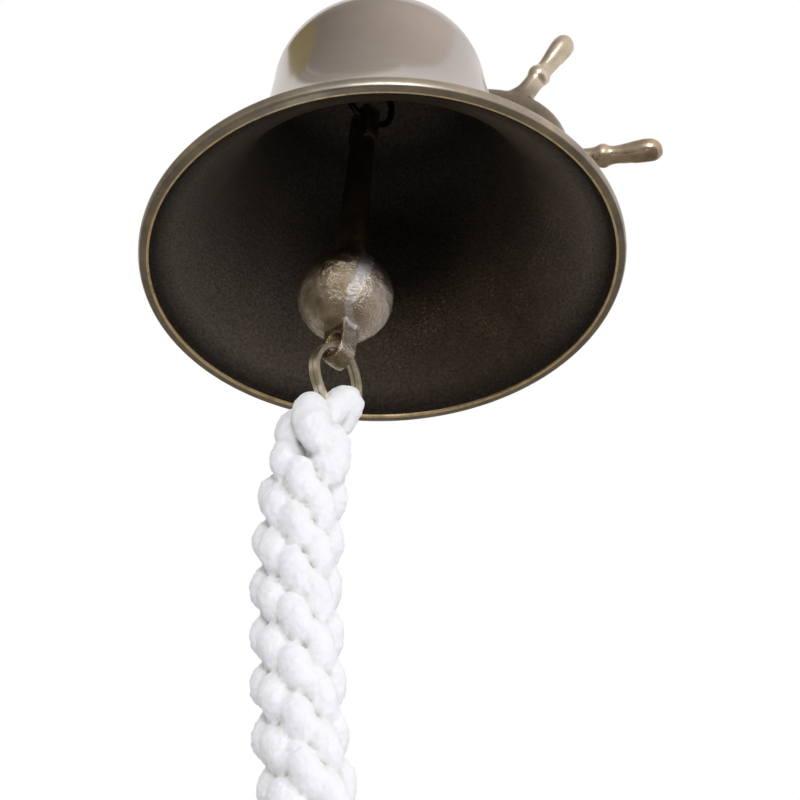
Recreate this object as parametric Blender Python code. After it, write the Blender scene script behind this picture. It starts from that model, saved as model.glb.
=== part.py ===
"""A wall bell: a flared brass bell bolted under an arm that stands out from a ship's-wheel bracket, with
a cast clapper hung by a ring and a plaited cotton lanyard on a second ring at the clapper's foot.

Metres, +Z up. The wall is the plane Y = 0 and the bell hangs in front of it, towards -Y. The origin is
the centre of the wheel's flat back. The bell sits a few degrees off plumb on its bolt; the clapper, the
rings and the lanyard hang plumb inside it.
"""

import math

import bmesh
import bpy
from mathutils import Matrix, Vector

for old in list(bpy.data.objects):
    bpy.data.objects.remove(old, do_unlink=True)

# Clearance kept between pieces that touch
GAP = 0.0003

# Ship's wheel: one flat-backed casting with a half-round front
SPOKE_COUNT = 6
RIM_RADIUS = 0.0439
RIM_WIDTH = 0.0112
RIM_DEPTH = 0.0076
RIM_ROUND = 0.0026
HUB_RADIUS = 0.0168
HUB_DEPTH = 0.0105
SIDE_DEPTH = 0.0036
BACK_RELIEF = 0.0004
SPOKE_RADIUS = 0.0036
HANDLE_LENGTH = 0.0354
HANDLE_ROOT = 0.0064
HANDLE_NECK = 0.0035
HANDLE_BEAD = 0.0047
HANDLE_WAIST = 0.0031
HANDLE_GRIP = 0.0044
WALL_HOLE_COUNT = 3
WALL_HOLE_RADIUS = 0.0021

# Arm from the hub to the bell's crown
FLANGE_RADIUS = 0.0135
FLANGE_DEPTH = 0.004
ARM_ROOT_RADIUS = 0.0062
ARM_TIP_RADIUS = 0.0042
PAD_RADIUS = 0.0115
PAD_COVER = 0.0006
SCREW_RADIUS = 0.0015
SCREW_HEAD_RADIUS = 0.0028
SCREW_HEAD_DEPTH = 0.0019
SCREW_BITE = 0.0052

# Bell: where its axis crosses the wheel's centre plane, how high that is above the mouth, and its lean
HANG_POINT = Vector((0.0, -0.104, -0.0244))
HANG_HEIGHT = 0.115
BELL_TILT = math.radians(7.4)
MOUTH_RADIUS = 0.075
LIP_WIDTH = 0.0034
LIP_DROP = 0.0012
LIP_BEAD = 0.0032
SHOULDER_RADIUS = 0.035
SHOULDER_HEIGHT = 0.0807
CROWN_HEIGHT = 0.1014
CROWN_FLAT = 0.010
FLARE_REACH = Vector((0.0213, 0.0088))
WAIST_REACH = Vector((0.0036, 0.0338))
WALL = 0.003
CROWN_WALL = 0.004

# Crown bolt and its stack
BOLT_RADIUS = 0.004
EYE_WIRE = 0.0016
EYE_HOLE = 0.0024
EYE_OFFSET = 0.0028
COLLAR_RADIUS = 0.0072
COLLAR_DEPTH = 0.002
COLLAR_BITE = 0.0012
INNER_WASHER_RADIUS = 0.0085
INNER_WASHER_DEPTH = 0.0015
CROWN_WASHER_RADIUS = 0.0095
CROWN_WASHER_DEPTH = 0.002
TOP_WASHER_RADIUS = 0.0085
TOP_WASHER_DEPTH = 0.0016
NUT_FLATS = 0.013
NUT_DEPTH = 0.0065
NUT_DOME = 0.0055
NUT_ROOF = 0.0034

# Clapper: one casting with an eye at the top and a lug at the foot
CASTING_TURN = math.radians(58)
CLAPPER_LEAN = math.radians(3.4)
EYE_PLATE_HALF = 0.0051
EYE_PLATE_DEPTH = 0.005
EYE_BRIDGE = 0.0032
EYE_SLOT_HALF = 0.0027
EYE_SLOT_LENGTH = 0.0018
ROD_TOP_RADIUS = 0.0038
ROD_FOOT_RADIUS = 0.005
BALL_DROP = 0.0797
BALL_RADIUS = 0.0148
LUG_HALF = 0.0047
LUG_DEPTH = 0.0062
LUG_HOLE = 0.0035
LUG_HOLE_DROP = 0.0208
LUG_BRIDGE = 0.0034

# Rings
CROWN_RING_RADIUS = 0.0101
CROWN_RING_WIRE = 0.0011
PULL_RING_TURN = math.radians(17)
PULL_RING_INNER = 0.0106
PULL_RING_WALL = 0.0019
PULL_RING_WIDTH = 0.003
PULL_RING_GROOVE = 0.00025
PULL_RING_PLAY = 0.0009

# Lanyard: cords doubled over the pull ring, then plaited, then tied off in a knot
CORD_RADIUS = 0.0035
BIGHT_HALF_SPREAD = 0.0064
BIGHT_LEG = 0.007
SINNET_RADIUS = 0.0126
SINNET_ROUTE = (
    (-0.0040, -0.0075),
    (-0.0042, -0.020),
    (-0.0040, -0.040),
    (-0.0016, -0.064),
    (0.0019, -0.086),
    (0.0058, -0.108),
    (0.0105, -0.126),
    (0.0134, -0.137),
)
SINNET_POINTS = 9
KNOT_RADIUS = 0.0155
KNOT_HALF_HEIGHT = 0.0125

# Facets
FULL_TURN = 2 * math.pi
BELL_STEPS = 56
ROUND_STEPS = 28
FINE_STEPS = 20


def brass(name, color, roughness):
    material = bpy.data.materials.new(name)
    material.use_nodes = True
    shader = material.node_tree.nodes["Principled BSDF"]
    shader.inputs["Base Color"].default_value = (*color, 1)
    shader.inputs["Metallic"].default_value = 1
    shader.inputs["Roughness"].default_value = roughness
    return material


def plain(name, color, roughness):
    material = brass(name, color, roughness)
    material.node_tree.nodes["Principled BSDF"].inputs["Metallic"].default_value = 0
    return material


def guide(name, location, parent=None, turn=(0, 0, 0)):
    """An empty that carries pieces; its place is given in its parent's frame."""
    empty = bpy.data.objects.new(name, None)
    empty.parent = parent
    empty.location = location
    empty.rotation_euler = turn
    bpy.context.scene.collection.objects.link(empty)
    return empty


def piece(name, bm, material=None, parent=None, location=(0, 0, 0), turn=(0, 0, 0), smooth=35):
    """An object from a bmesh, with its faces pointing out and its round faces smooth."""
    bmesh.ops.recalc_face_normals(bm, faces=bm.faces)
    mesh = bpy.data.meshes.new(name)
    bm.to_mesh(mesh)
    bm.free()
    mesh.shade_smooth()
    mesh.set_sharp_from_angle(angle=math.radians(smooth))
    thing = bpy.data.objects.new(name, mesh)
    if material:
        mesh.materials.append(material)
    thing.parent = parent
    thing.location = location
    thing.rotation_euler = turn
    bpy.context.scene.collection.objects.link(thing)
    return thing


def combine(target, other, operation):
    """Join another shape to a piece, or cut it out; the other shape stays as a hidden tool."""
    other.hide_render = True
    other.display_type = "WIRE"
    other.name = f"{target.name}_{operation.lower()}_tool"
    change = target.modifiers.new(other.name, "BOOLEAN")
    change.operation = operation
    change.object = other


def bezier(start, first, second, end, count):
    """Points along a cubic curve, both ends included."""
    points = []
    for i in range(count):
        t = i / (count - 1)
        u = 1 - t
        points.append(start * u**3 + first * (3 * t * u**2) + second * (3 * t**2 * u) + end * t**3)
    return points


def smooth_through(points, count):
    """Points read evenly from a smooth curve through the given ones."""
    ends = [points[0] * 2 - points[1], *points, points[-1] * 2 - points[-2]]
    spans = len(points) - 1
    read = []
    for i in range(count):
        at = i / (count - 1) * spans
        k = min(int(at), spans - 1)
        t = at - k
        a, b, c, d = ends[k : k + 4]
        bend = (a * 2 - b * 5 + c * 4 - d) * t**2 + (b * 3 - a - c * 3 + d) * t**3
        read.append(b + ((c - a) * t + bend) / 2)
    return read


def turned(outline, steps, axis="Z"):
    """A bmesh turned from a closed outline of (radius, height) points; radius 0 lies on the axis."""
    bm = bmesh.new()
    place = {"Z": lambda r, h, a: (r * math.cos(a), r * math.sin(a), h)}
    place["Y"] = lambda r, h, a: (r * math.cos(a), -h, r * math.sin(a))
    rings = []
    for radius, height in outline:
        count = steps if radius > 0 else 1
        angles = [FULL_TURN * k / steps for k in range(count)]
        rings.append([bm.verts.new(place[axis](radius, height, a)) for a in angles])
    for low, high in zip(rings, rings[1:] + rings[:1]):
        for k in range(steps):
            corners = [low[k % len(low)], low[(k + 1) % len(low)]]
            corners += [high[(k + 1) % len(high)], high[k % len(high)]]
            face = list(dict.fromkeys(corners))
            if len(face) > 2:
                bm.faces.new(face)
    return bm


def ring_of(radius, wire, steps, sides):
    """A round-wire ring about Z."""
    outline = []
    for k in range(sides):
        a = FULL_TURN * k / sides
        outline.append((radius + wire * math.cos(a), wire * math.sin(a)))
    return turned(outline, steps)


def disc(inner, outer, low, high, steps=ROUND_STEPS, axis="Z"):
    """A plain ring, or a solid disc where the inner radius is 0."""
    return turned([(inner, high), (outer, high), (outer, low), (inner, low)], steps, axis)


def skin(sections):
    """A closed bmesh over equal rings of points, with flat ends."""
    bm = bmesh.new()
    rings = [[bm.verts.new(p) for p in section] for section in sections]
    count = len(rings[0])
    for low, high in zip(rings, rings[1:]):
        for k in range(count):
            n = (k + 1) % count
            bm.faces.new((low[k], low[n], high[n], high[k]))
    bm.faces.new(rings[0])
    bm.faces.new(rings[-1])
    return bm


def slab(half, bottom, top, depth, sides=10):
    """An upright plate in the YZ plane with a round top and foot, given by its lowest and highest points."""
    outline = []
    for k in range(sides + 1):
        a = math.pi * k / sides
        outline.append((half * math.cos(a), top - half + half * math.sin(a)))
    for k in range(sides + 1):
        a = math.pi * (1 + k / sides)
        outline.append((half * math.cos(a), bottom + half + half * math.sin(a)))
    return skin([[(x, y, z) for y, z in outline] for x in (-depth / 2, depth / 2)])


def tube(name, points, radius, parent, material):
    """A cord's plain solid: a filled curve through the points."""
    curve = bpy.data.curves.new(name, "CURVE")
    curve.dimensions = "3D"
    curve.bevel_depth = radius
    curve.bevel_resolution = 3
    curve.use_fill_caps = True
    spline = curve.splines.new("POLY")
    spline.points.add(len(points) - 1)
    for point, at in zip(spline.points, points):
        point.co = (*at, 1)
    curve.materials.append(material)
    thing = bpy.data.objects.new(name, curve)
    thing.parent = parent
    bpy.context.scene.collection.objects.link(thing)
    return thing


def sagitta(radius, reach):
    """How far a circle falls away from its tangent at a given reach."""
    return radius - math.sqrt(radius**2 - reach**2)


# Heights up the bell's axis, from the plane of the lip's widest circle
crown_inside = CROWN_HEIGHT - CROWN_WALL
inner_washer_low = crown_inside - GAP - INNER_WASHER_DEPTH
collar_top = inner_washer_low - GAP
collar_low = collar_top - COLLAR_DEPTH
eye_circle = EYE_HOLE + EYE_WIRE
eye_height = collar_low + COLLAR_BITE - eye_circle - EYE_WIRE
crown_washer_low = CROWN_HEIGHT + GAP
pad_depth = 2 * (ARM_TIP_RADIUS + PAD_COVER)
pad_low = crown_washer_low + CROWN_WASHER_DEPTH + GAP
pad_top = pad_low + pad_depth
top_washer_low = pad_top + GAP
nut_low = top_washer_low + TOP_WASHER_DEPTH + GAP
nut_top = nut_low + NUT_DEPTH + NUT_DOME
bolt_top = nut_top - NUT_ROOF - GAP
bolt_hole = BOLT_RADIUS + GAP

bell_axis = Vector((-math.sin(BELL_TILT), 0, math.cos(BELL_TILT)))
bell_mouth = HANG_POINT - bell_axis * HANG_HEIGHT
bell_frame = guide("bell_frame", bell_mouth, turn=(0, -BELL_TILT, 0))

# Drops below the crown bolt's eye, down the plumb line
ring_drop = CROWN_RING_RADIUS - EYE_WIRE - CROWN_RING_WIRE - GAP
clapper_drop = ring_drop + CROWN_RING_RADIUS
eye_slot_top = CROWN_RING_WIRE + GAP + sagitta(CROWN_RING_RADIUS, EYE_PLATE_DEPTH / 2)
lug_hole_height = -BALL_DROP - LUG_HOLE_DROP
lug_foot = lug_hole_height - LUG_HOLE - LUG_BRIDGE
lug_hinge = lug_foot + LUG_BRIDGE / 2
pull_ring_middle = PULL_RING_INNER + PULL_RING_WALL / 2
lean_across = (LUG_HOLE + LUG_BRIDGE / 2) * math.sin(CLAPPER_LEAN)
turn_across = LUG_DEPTH / 2 * math.tan(PULL_RING_TURN)
ring_across = PULL_RING_WIDTH / 2 / math.cos(PULL_RING_TURN) + turn_across + lean_across
lug_fall = sagitta(PULL_RING_INNER, LUG_DEPTH / 2) + sagitta(LUG_HOLE, ring_across)
pull_ring_lift = PULL_RING_PLAY + lug_fall
pull_ring_centre = lug_hole_height - LUG_HOLE + pull_ring_lift - PULL_RING_INNER

eye_side = Vector((-EYE_OFFSET * math.cos(BELL_TILT), 0, -EYE_OFFSET * math.sin(BELL_TILT)))
hang_eye = bell_mouth + bell_axis * (eye_height - eye_circle) + eye_side
ring_hinge = guide("crown_ring_hinge", hang_eye, turn=(0, 0, CASTING_TURN))
clapper_hinge = guide("clapper_hinge", (0, 0, -clapper_drop), ring_hinge, (-CLAPPER_LEAN, 0, 0))
pull_plumb = guide("pull_ring_plumb", (0, 0, lug_hinge), clapper_hinge, (CLAPPER_LEAN, 0, 0))
pull_hinge = guide("pull_ring_hinge", (0, 0, 0), pull_plumb, (0, 0, PULL_RING_TURN))
saddle = (0, 0, pull_ring_centre - pull_ring_middle - lug_hinge)
lanyard_hinge = guide("lanyard_hinge", saddle, pull_hinge)


def handle_stations():
    """(distance from the hub's centre, half width, front height) along one spoke and its handle."""
    shape = (
        (-0.09, HANDLE_ROOT, SPOKE_RADIUS),
        (0.00, HANDLE_ROOT, SPOKE_RADIUS),
        (0.04, (HANDLE_ROOT + HANDLE_NECK) / 2, SPOKE_RADIUS),
        (0.10, HANDLE_NECK * 1.06, HANDLE_NECK),
        (0.20, HANDLE_NECK, HANDLE_NECK),
        (0.28, HANDLE_NECK, HANDLE_NECK),
        (0.325, HANDLE_BEAD * 0.92, HANDLE_BEAD * 0.92),
        (0.365, HANDLE_BEAD, HANDLE_BEAD),
        (0.405, HANDLE_BEAD * 0.92, HANDLE_BEAD * 0.92),
        (0.44, HANDLE_WAIST * 1.06, HANDLE_WAIST * 1.06),
        (0.48, HANDLE_WAIST, HANDLE_WAIST),
        (0.58, HANDLE_WAIST * 1.08, HANDLE_WAIST * 1.08),
        (0.72, HANDLE_GRIP * 0.92, HANDLE_GRIP * 0.92),
        (0.84, HANDLE_GRIP, HANDLE_GRIP),
        (0.92, HANDLE_GRIP * 0.91, HANDLE_GRIP * 0.91),
        (0.97, HANDLE_GRIP * 0.65, HANDLE_GRIP * 0.65),
        (1.00, HANDLE_GRIP * 0.25, HANDLE_GRIP * 0.25),
    )
    inner = RIM_RADIUS - RIM_WIDTH / 2
    stations = [(HUB_RADIUS / 2, SPOKE_RADIUS, SPOKE_RADIUS), (inner, SPOKE_RADIUS, SPOKE_RADIUS)]
    return stations + [(RIM_RADIUS + f * HANDLE_LENGTH, w, h) for f, w, h in shape]


def half_round(at, half, front, angle, sides=8):
    """One cross-section of a spoke: a half-round front with straight sides back almost to the wall."""
    section = [(half, -BACK_RELIEF)]
    for k in range(sides + 1):
        a = math.pi * k / sides
        section.append((half * math.cos(a), -SIDE_DEPTH - front * math.sin(a)))
    section.append((-half, -BACK_RELIEF))
    c, s = math.cos(angle), math.sin(angle)
    return [(at * c - across * s, depth, at * s + across * c) for across, depth in section]


def make_wheel():
    rim_inner = RIM_RADIUS - RIM_WIDTH
    outline = [(rim_inner, 0), (rim_inner, RIM_DEPTH - RIM_ROUND)]
    outline += [(rim_inner + RIM_ROUND * 0.3, RIM_DEPTH - RIM_ROUND * 0.3)]
    outline += [(rim_inner + RIM_ROUND, RIM_DEPTH), (RIM_RADIUS - RIM_ROUND, RIM_DEPTH)]
    outline += [(RIM_RADIUS - RIM_ROUND * 0.3, RIM_DEPTH - RIM_ROUND * 0.3)]
    outline += [(RIM_RADIUS, RIM_DEPTH - RIM_ROUND), (RIM_RADIUS, 0)]
    material = brass("antique_brass_wheel", (0.30, 0.24, 0.16), 0.35)
    wheel = piece("ship_wheel", turned(outline, BELL_STEPS, "Y"), material)
    combine(wheel, piece("hub", disc(0, HUB_RADIUS, 0, HUB_DEPTH, axis="Y")), "UNION")
    for k in range(SPOKE_COUNT):
        angle = FULL_TURN * k / SPOKE_COUNT
        sections = [half_round(at, half, front, angle) for at, half, front in handle_stations()]
        combine(wheel, piece("spoke", skin(sections)), "UNION")
    for k in range(WALL_HOLE_COUNT):
        angle = FULL_TURN * (0.25 + k / WALL_HOLE_COUNT)
        at = RIM_RADIUS - RIM_WIDTH / 2
        hole = disc(0, WALL_HOLE_RADIUS, -RIM_DEPTH, 2 * RIM_DEPTH, FINE_STEPS, "Y")
        place = (at * math.cos(angle), 0, at * math.sin(angle))
        off_edges = (0, math.pi / FINE_STEPS, 0)
        combine(wheel, piece("wall_hole", hole, location=place, turn=off_edges), "DIFFERENCE")
    for side in (-1, 1):
        hole = disc(0, SCREW_RADIUS + GAP, HUB_DEPTH - SCREW_BITE - GAP, 2 * HUB_DEPTH, FINE_STEPS, "Y")
        combine(wheel, piece("screw_hole", hole, location=(side * screw_offset, 0, 0)), "DIFFERENCE")


def make_arm():
    material = brass("antique_brass_arm", (0.32, 0.26, 0.17), 0.35)
    flange_back = HUB_DEPTH + GAP
    flange_front = flange_back + FLANGE_DEPTH
    arm = piece("bracket_arm", disc(0, FLANGE_RADIUS, flange_back, flange_front, axis="Y"), material)

    pad_middle = bell_mouth + bell_axis * (pad_low + pad_depth / 2)
    start = Vector((0, -flange_back - FLANGE_DEPTH / 2, 0))
    end = pad_middle + Vector((0, PAD_RADIUS * 0.4, 0))
    reach = (end - start) * 0.5
    first = start + Vector((0, reach.y, 0))
    second = end - Vector((0, reach.y * 0.7, 0))
    path = bezier(start, first, second, end, 14)
    sections = []
    for i, at in enumerate(path):
        along = (path[min(i + 1, len(path) - 1)] - path[max(i - 1, 0)]).normalized()
        side = Vector((1, 0, 0))
        over = along.cross(side).normalized()
        share = i / (len(path) - 1)
        radius = ARM_ROOT_RADIUS * (1 - share) + ARM_TIP_RADIUS * share
        angles = [FULL_TURN * k / FINE_STEPS for k in range(FINE_STEPS)]
        sections.append([at + (side * math.cos(a) + over * math.sin(a)) * radius for a in angles])
    combine(arm, piece("neck", skin(sections)), "UNION")
    pad = disc(0, PAD_RADIUS, pad_low, pad_top)
    combine(arm, piece("pad", pad, parent=bell_frame), "UNION")
    hole = disc(0, bolt_hole, pad_low - pad_depth, pad_top + pad_depth)
    combine(arm, piece("bolt_hole", hole, parent=bell_frame), "DIFFERENCE")
    screw_material = brass("brass_screws", (0.40, 0.32, 0.20), 0.3)
    for side, name in ((-1, "left"), (1, "right")):
        place = (side * screw_offset, 0, 0)
        hole = disc(0, SCREW_RADIUS + GAP, 0, 2 * flange_front, FINE_STEPS, "Y")
        combine(arm, piece("screw_hole", hole, location=place), "DIFFERENCE")
        head = flange_front + GAP
        outline = [(0, head + SCREW_HEAD_DEPTH), (SCREW_HEAD_RADIUS * 0.7, head + SCREW_HEAD_DEPTH)]
        outline += [(SCREW_HEAD_RADIUS, head + SCREW_HEAD_DEPTH * 0.4), (SCREW_HEAD_RADIUS, head)]
        outline += [(SCREW_RADIUS, head), (SCREW_RADIUS, HUB_DEPTH - SCREW_BITE)]
        outline += [(0, HUB_DEPTH - SCREW_BITE)]
        piece(f"arm_screw_{name}", turned(outline, FINE_STEPS, "Y"), screw_material, location=place)


def bell_outline():
    """The bell's closed section: lip bead, flare, waist, shoulder and crown, then back down its inside."""
    foot = Vector((MOUTH_RADIUS - LIP_BEAD * 0.44, LIP_BEAD))
    shoulder = Vector((SHOULDER_RADIUS, SHOULDER_HEIGHT))
    crown = Vector((CROWN_FLAT, CROWN_HEIGHT))
    flare = foot + Vector((-FLARE_REACH.x, FLARE_REACH.y))
    waist = shoulder + Vector((WAIST_REACH.x, -WAIST_REACH.y))
    rise = (shoulder - waist).normalized() * (CROWN_HEIGHT - SHOULDER_HEIGHT) * 0.43
    inset = Vector(((SHOULDER_RADIUS - CROWN_FLAT) * 0.72, 0))
    outer = bezier(foot, flare, waist, shoulder, 11)
    outer += bezier(shoulder, shoulder + rise, crown + inset, crown, 8)[1:]
    inner = []
    for i in range(1, len(outer)):
        along = (outer[min(i + 1, len(outer) - 1)] - outer[i - 1]).normalized()
        share = max(0, (outer[i].y - SHOULDER_HEIGHT) / (CROWN_HEIGHT - SHOULDER_HEIGHT))
        wall = WALL * (1 - share) + CROWN_WALL * share
        inner.append(outer[i] + Vector((-along.y, along.x)) * wall)
    inner[-1] = Vector((CROWN_FLAT, crown_inside))
    lip = [(MOUTH_RADIUS - LIP_WIDTH, -LIP_DROP), (MOUTH_RADIUS - LIP_WIDTH * 0.25, -LIP_DROP * 0.85)]
    lip += [(MOUTH_RADIUS, -LIP_DROP * 0.2), (MOUTH_RADIUS, LIP_BEAD * 0.3)]
    lip += [(MOUTH_RADIUS - LIP_BEAD * 0.12, LIP_BEAD * 0.7)]
    climb = [tuple(p) for p in outer] + [(bolt_hole, CROWN_HEIGHT), (bolt_hole, crown_inside)]
    return lip + climb + [tuple(p) for p in reversed(inner)]


def make_bell():
    polished = brass("polished_antique_brass", (0.45, 0.38, 0.27), 0.25)
    piece("bell_shell", turned(bell_outline(), BELL_STEPS), polished, bell_frame)

    bolt_brass = brass("dark_brass_bolt", (0.20, 0.16, 0.11), 0.45)
    outline = [(0, bolt_top), (BOLT_RADIUS, bolt_top), (BOLT_RADIUS, collar_top)]
    outline += [(COLLAR_RADIUS, collar_top), (COLLAR_RADIUS, collar_low), (0, collar_low)]
    bolt = piece("crown_eyebolt", turned(outline, FINE_STEPS), bolt_brass, bell_frame)
    eye = ring_of(eye_circle, EYE_WIRE, FINE_STEPS, 12)
    upright = (math.pi / 2, 0, CASTING_TURN + math.pi / 2)
    eye = piece("eye", eye, parent=bell_frame, location=(-EYE_OFFSET, 0, eye_height), turn=upright)
    combine(bolt, eye, "UNION")

    leather = plain("leather_washer", (0.09, 0.06, 0.04), 0.8)
    washer_brass = brass("brass_washers", (0.38, 0.31, 0.20), 0.3)
    inner = disc(bolt_hole, INNER_WASHER_RADIUS, inner_washer_low, inner_washer_low + INNER_WASHER_DEPTH)
    piece("inner_washer", inner, leather, bell_frame)
    crown = disc(bolt_hole, CROWN_WASHER_RADIUS, crown_washer_low, crown_washer_low + CROWN_WASHER_DEPTH)
    piece("crown_washer", crown, leather, bell_frame)
    top = disc(bolt_hole, TOP_WASHER_RADIUS, top_washer_low, top_washer_low + TOP_WASHER_DEPTH)
    piece("top_washer", top, washer_brass, bell_frame)

    corner = NUT_FLATS / math.sqrt(3)
    nut = piece("cap_nut", disc(0, corner, nut_low, nut_low + NUT_DEPTH, 6), washer_brass, bell_frame)
    dome_base = nut_low + NUT_DEPTH * 0.8
    dome_rise = nut_top - dome_base
    dome = [(0, dome_base)]
    for k in range(7):
        a = math.pi / 2 * k / 6
        dome.append((NUT_FLATS * 0.46 * math.cos(a) if k < 6 else 0, dome_base + dome_rise * math.sin(a)))
    combine(nut, piece("dome", turned(dome, FINE_STEPS), parent=bell_frame), "UNION")
    hole = disc(0, bolt_hole, nut_low - NUT_DEPTH, nut_top - NUT_ROOF, FINE_STEPS)
    combine(nut, piece("thread", hole, parent=bell_frame), "DIFFERENCE")


def make_clapper():
    ring_brass = brass("antique_brass_ring", (0.24, 0.19, 0.12), 0.4)
    upright = (math.pi / 2, 0, 0)
    ring = ring_of(CROWN_RING_RADIUS, CROWN_RING_WIRE, 32, 8)
    bmesh.ops.rotate(ring, matrix=Matrix.Rotation(math.pi / 2, 3, "X"), verts=ring.verts)
    bmesh.ops.translate(ring, vec=(0, 0, -ring_drop), verts=ring.verts)
    piece("crown_ring", ring, ring_brass, ring_hinge)

    eye_foot = eye_slot_top - EYE_SLOT_HALF * 2 - EYE_SLOT_LENGTH - EYE_BRIDGE
    rod_top = eye_foot + EYE_BRIDGE * 0.9
    outline = [(0, rod_top), (ROD_TOP_RADIUS, rod_top)]
    start = math.asin(ROD_FOOT_RADIUS / BALL_RADIUS)
    sides = 12
    for k in range(sides + 1):
        a = start + (math.pi - start) * k / sides
        radius = BALL_RADIUS * math.sin(a) if k < sides else 0
        outline.append((radius, -BALL_DROP + BALL_RADIUS * math.cos(a)))
    cast = brass("rough_cast_brass", (0.36, 0.30, 0.21), 0.5)
    clapper = piece("clapper", turned(outline, ROUND_STEPS), cast, clapper_hinge)
    eye = slab(EYE_PLATE_HALF, eye_foot - EYE_PLATE_HALF, eye_slot_top + EYE_BRIDGE, EYE_PLATE_DEPTH)
    combine(clapper, piece("eye_plate", eye, parent=clapper_hinge), "UNION")
    lug = slab(LUG_HALF, lug_foot, -BALL_DROP, LUG_DEPTH)
    combine(clapper, piece("lug", lug, parent=clapper_hinge), "UNION")
    slot_foot = eye_slot_top - EYE_SLOT_HALF * 2 - EYE_SLOT_LENGTH
    slot = slab(EYE_SLOT_HALF, slot_foot, eye_slot_top, EYE_PLATE_DEPTH * 4)
    combine(clapper, piece("eye_slot", slot, parent=clapper_hinge), "DIFFERENCE")
    hole = slab(LUG_HOLE, lug_hole_height - LUG_HOLE, lug_hole_height + LUG_HOLE, LUG_DEPTH * 4)
    combine(clapper, piece("lug_hole", hole, parent=clapper_hinge), "DIFFERENCE")

    outer, half, groove = PULL_RING_INNER + PULL_RING_WALL, PULL_RING_WIDTH / 2, PULL_RING_GROOVE
    outline = [(PULL_RING_INNER, half), (outer - groove, half), (outer, half - groove)]
    outline += [(outer, groove), (outer - groove, 0), (outer, -groove), (outer, groove - half)]
    outline += [(outer - groove, -half), (PULL_RING_INNER, -half)]
    pull = piece("pull_ring", turned(outline, 40), ring_brass, pull_hinge, turn=upright)
    pull.location = (0, 0, pull_ring_centre - lug_hinge)


def make_lanyard():
    cotton = plain("white_cotton", (0.80, 0.79, 0.77), 0.9)
    clear = PULL_RING_INNER - CORD_RADIUS - 2 * GAP
    beside = CORD_RADIUS + GAP
    crest = pull_ring_middle - math.sqrt(clear**2 - beside**2)
    for side, name in ((-1, "front"), (1, "back")):
        points = [Vector((side * beside, -BIGHT_HALF_SPREAD, -BIGHT_LEG))]
        for k in range(9):
            a = math.pi * k / 8
            across = -BIGHT_HALF_SPREAD * math.cos(a)
            points.append(Vector((side * beside, across, crest * math.sin(a))))
        points.append(Vector((side * beside, BIGHT_HALF_SPREAD, -BIGHT_LEG)))
        tube(f"lanyard_bight_{name}", points, CORD_RADIUS, lanyard_hinge, cotton)
    plumb = guide("lanyard_plumb", (0, 0, 0), lanyard_hinge, (0, 0, -CASTING_TURN - PULL_RING_TURN))
    route = [Vector((x, 0, z)) for x, z in SINNET_ROUTE]
    tube("lanyard_sinnet", smooth_through(route, SINNET_POINTS), SINNET_RADIUS, plumb, cotton)
    end = route[-1]
    heading = (route[-1] - route[-2]).normalized()
    centre = end + heading * (KNOT_HALF_HEIGHT + GAP)
    flat = 0.8
    outline = [(0, KNOT_HALF_HEIGHT)]
    for k in range(9):
        a = math.pi * (0.5 - k / 8) * flat
        bulge = math.sin(math.pi / 2 * flat)
        outline.append((KNOT_RADIUS * math.cos(a), KNOT_HALF_HEIGHT * math.sin(a) / bulge))
    outline.append((0, -KNOT_HALF_HEIGHT))
    lean = math.atan2(-heading.x, -heading.z)
    knot = turned(outline, ROUND_STEPS)
    piece("lanyard_knot", knot, cotton, plumb, location=centre, turn=(0, lean, 0))


screw_offset = (ARM_ROOT_RADIUS + FLANGE_RADIUS) / 2
make_wheel()
make_arm()
make_bell()
make_clapper()
make_lanyard()
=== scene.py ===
"""The looks of a wall bell: a flared antique-brass bell on a ship's-wheel bracket, with a cast clapper, a
split ring and a plaited cotton lanyard, seen from below against white.

Metres, +Z up. The wall is the plane Y = 0 and the bell hangs in front of it, towards -Y.
"""

import math

import bmesh
import bpy
from mathutils import Matrix, Vector, noise


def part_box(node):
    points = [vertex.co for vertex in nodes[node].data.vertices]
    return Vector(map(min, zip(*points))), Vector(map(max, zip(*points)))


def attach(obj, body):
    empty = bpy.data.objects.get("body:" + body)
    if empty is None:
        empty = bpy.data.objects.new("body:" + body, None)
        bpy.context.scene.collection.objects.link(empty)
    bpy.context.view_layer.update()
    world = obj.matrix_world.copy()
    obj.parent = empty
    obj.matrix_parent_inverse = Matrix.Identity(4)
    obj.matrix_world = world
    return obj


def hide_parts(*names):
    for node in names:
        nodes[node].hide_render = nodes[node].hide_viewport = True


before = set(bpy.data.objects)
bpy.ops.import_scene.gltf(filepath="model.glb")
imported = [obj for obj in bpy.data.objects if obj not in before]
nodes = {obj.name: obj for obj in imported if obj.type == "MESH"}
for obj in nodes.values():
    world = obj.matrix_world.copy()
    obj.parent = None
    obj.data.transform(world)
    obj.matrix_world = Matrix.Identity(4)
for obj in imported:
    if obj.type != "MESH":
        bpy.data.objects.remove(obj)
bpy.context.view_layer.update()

FULL_TURN = 2 * math.pi
UP = Vector((0, 0, 1))

# Camera, at the photograph's viewing angle
CAMERA_PLACE = Vector((0.19441, -0.54939, -0.55579))
CAMERA_RIGHT = Vector((0.9555, 0.2758, 0.1042))
CAMERA_UP = Vector((0.0900, -0.6095, 0.7877))
CAMERA_BACK = Vector((0.2808, -0.7433, -0.6072))
CAMERA_LENS = 92.9
CAMERA_SENSOR = 36
CAMERA_NEAR = 0.01

# Stage: the floor, the sky's share as light and as background, and how finely cards are cut
FLOOR_HEIGHT = -1.4
FLOOR_HALF = 40
FLOOR_TONE = (0.92, 0.92, 0.92, 1)
SKY_LIGHT = 0.63
SKY_SEEN = 1.0
CARD_COLUMNS = 36
CARD_ROWS = 16

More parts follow.
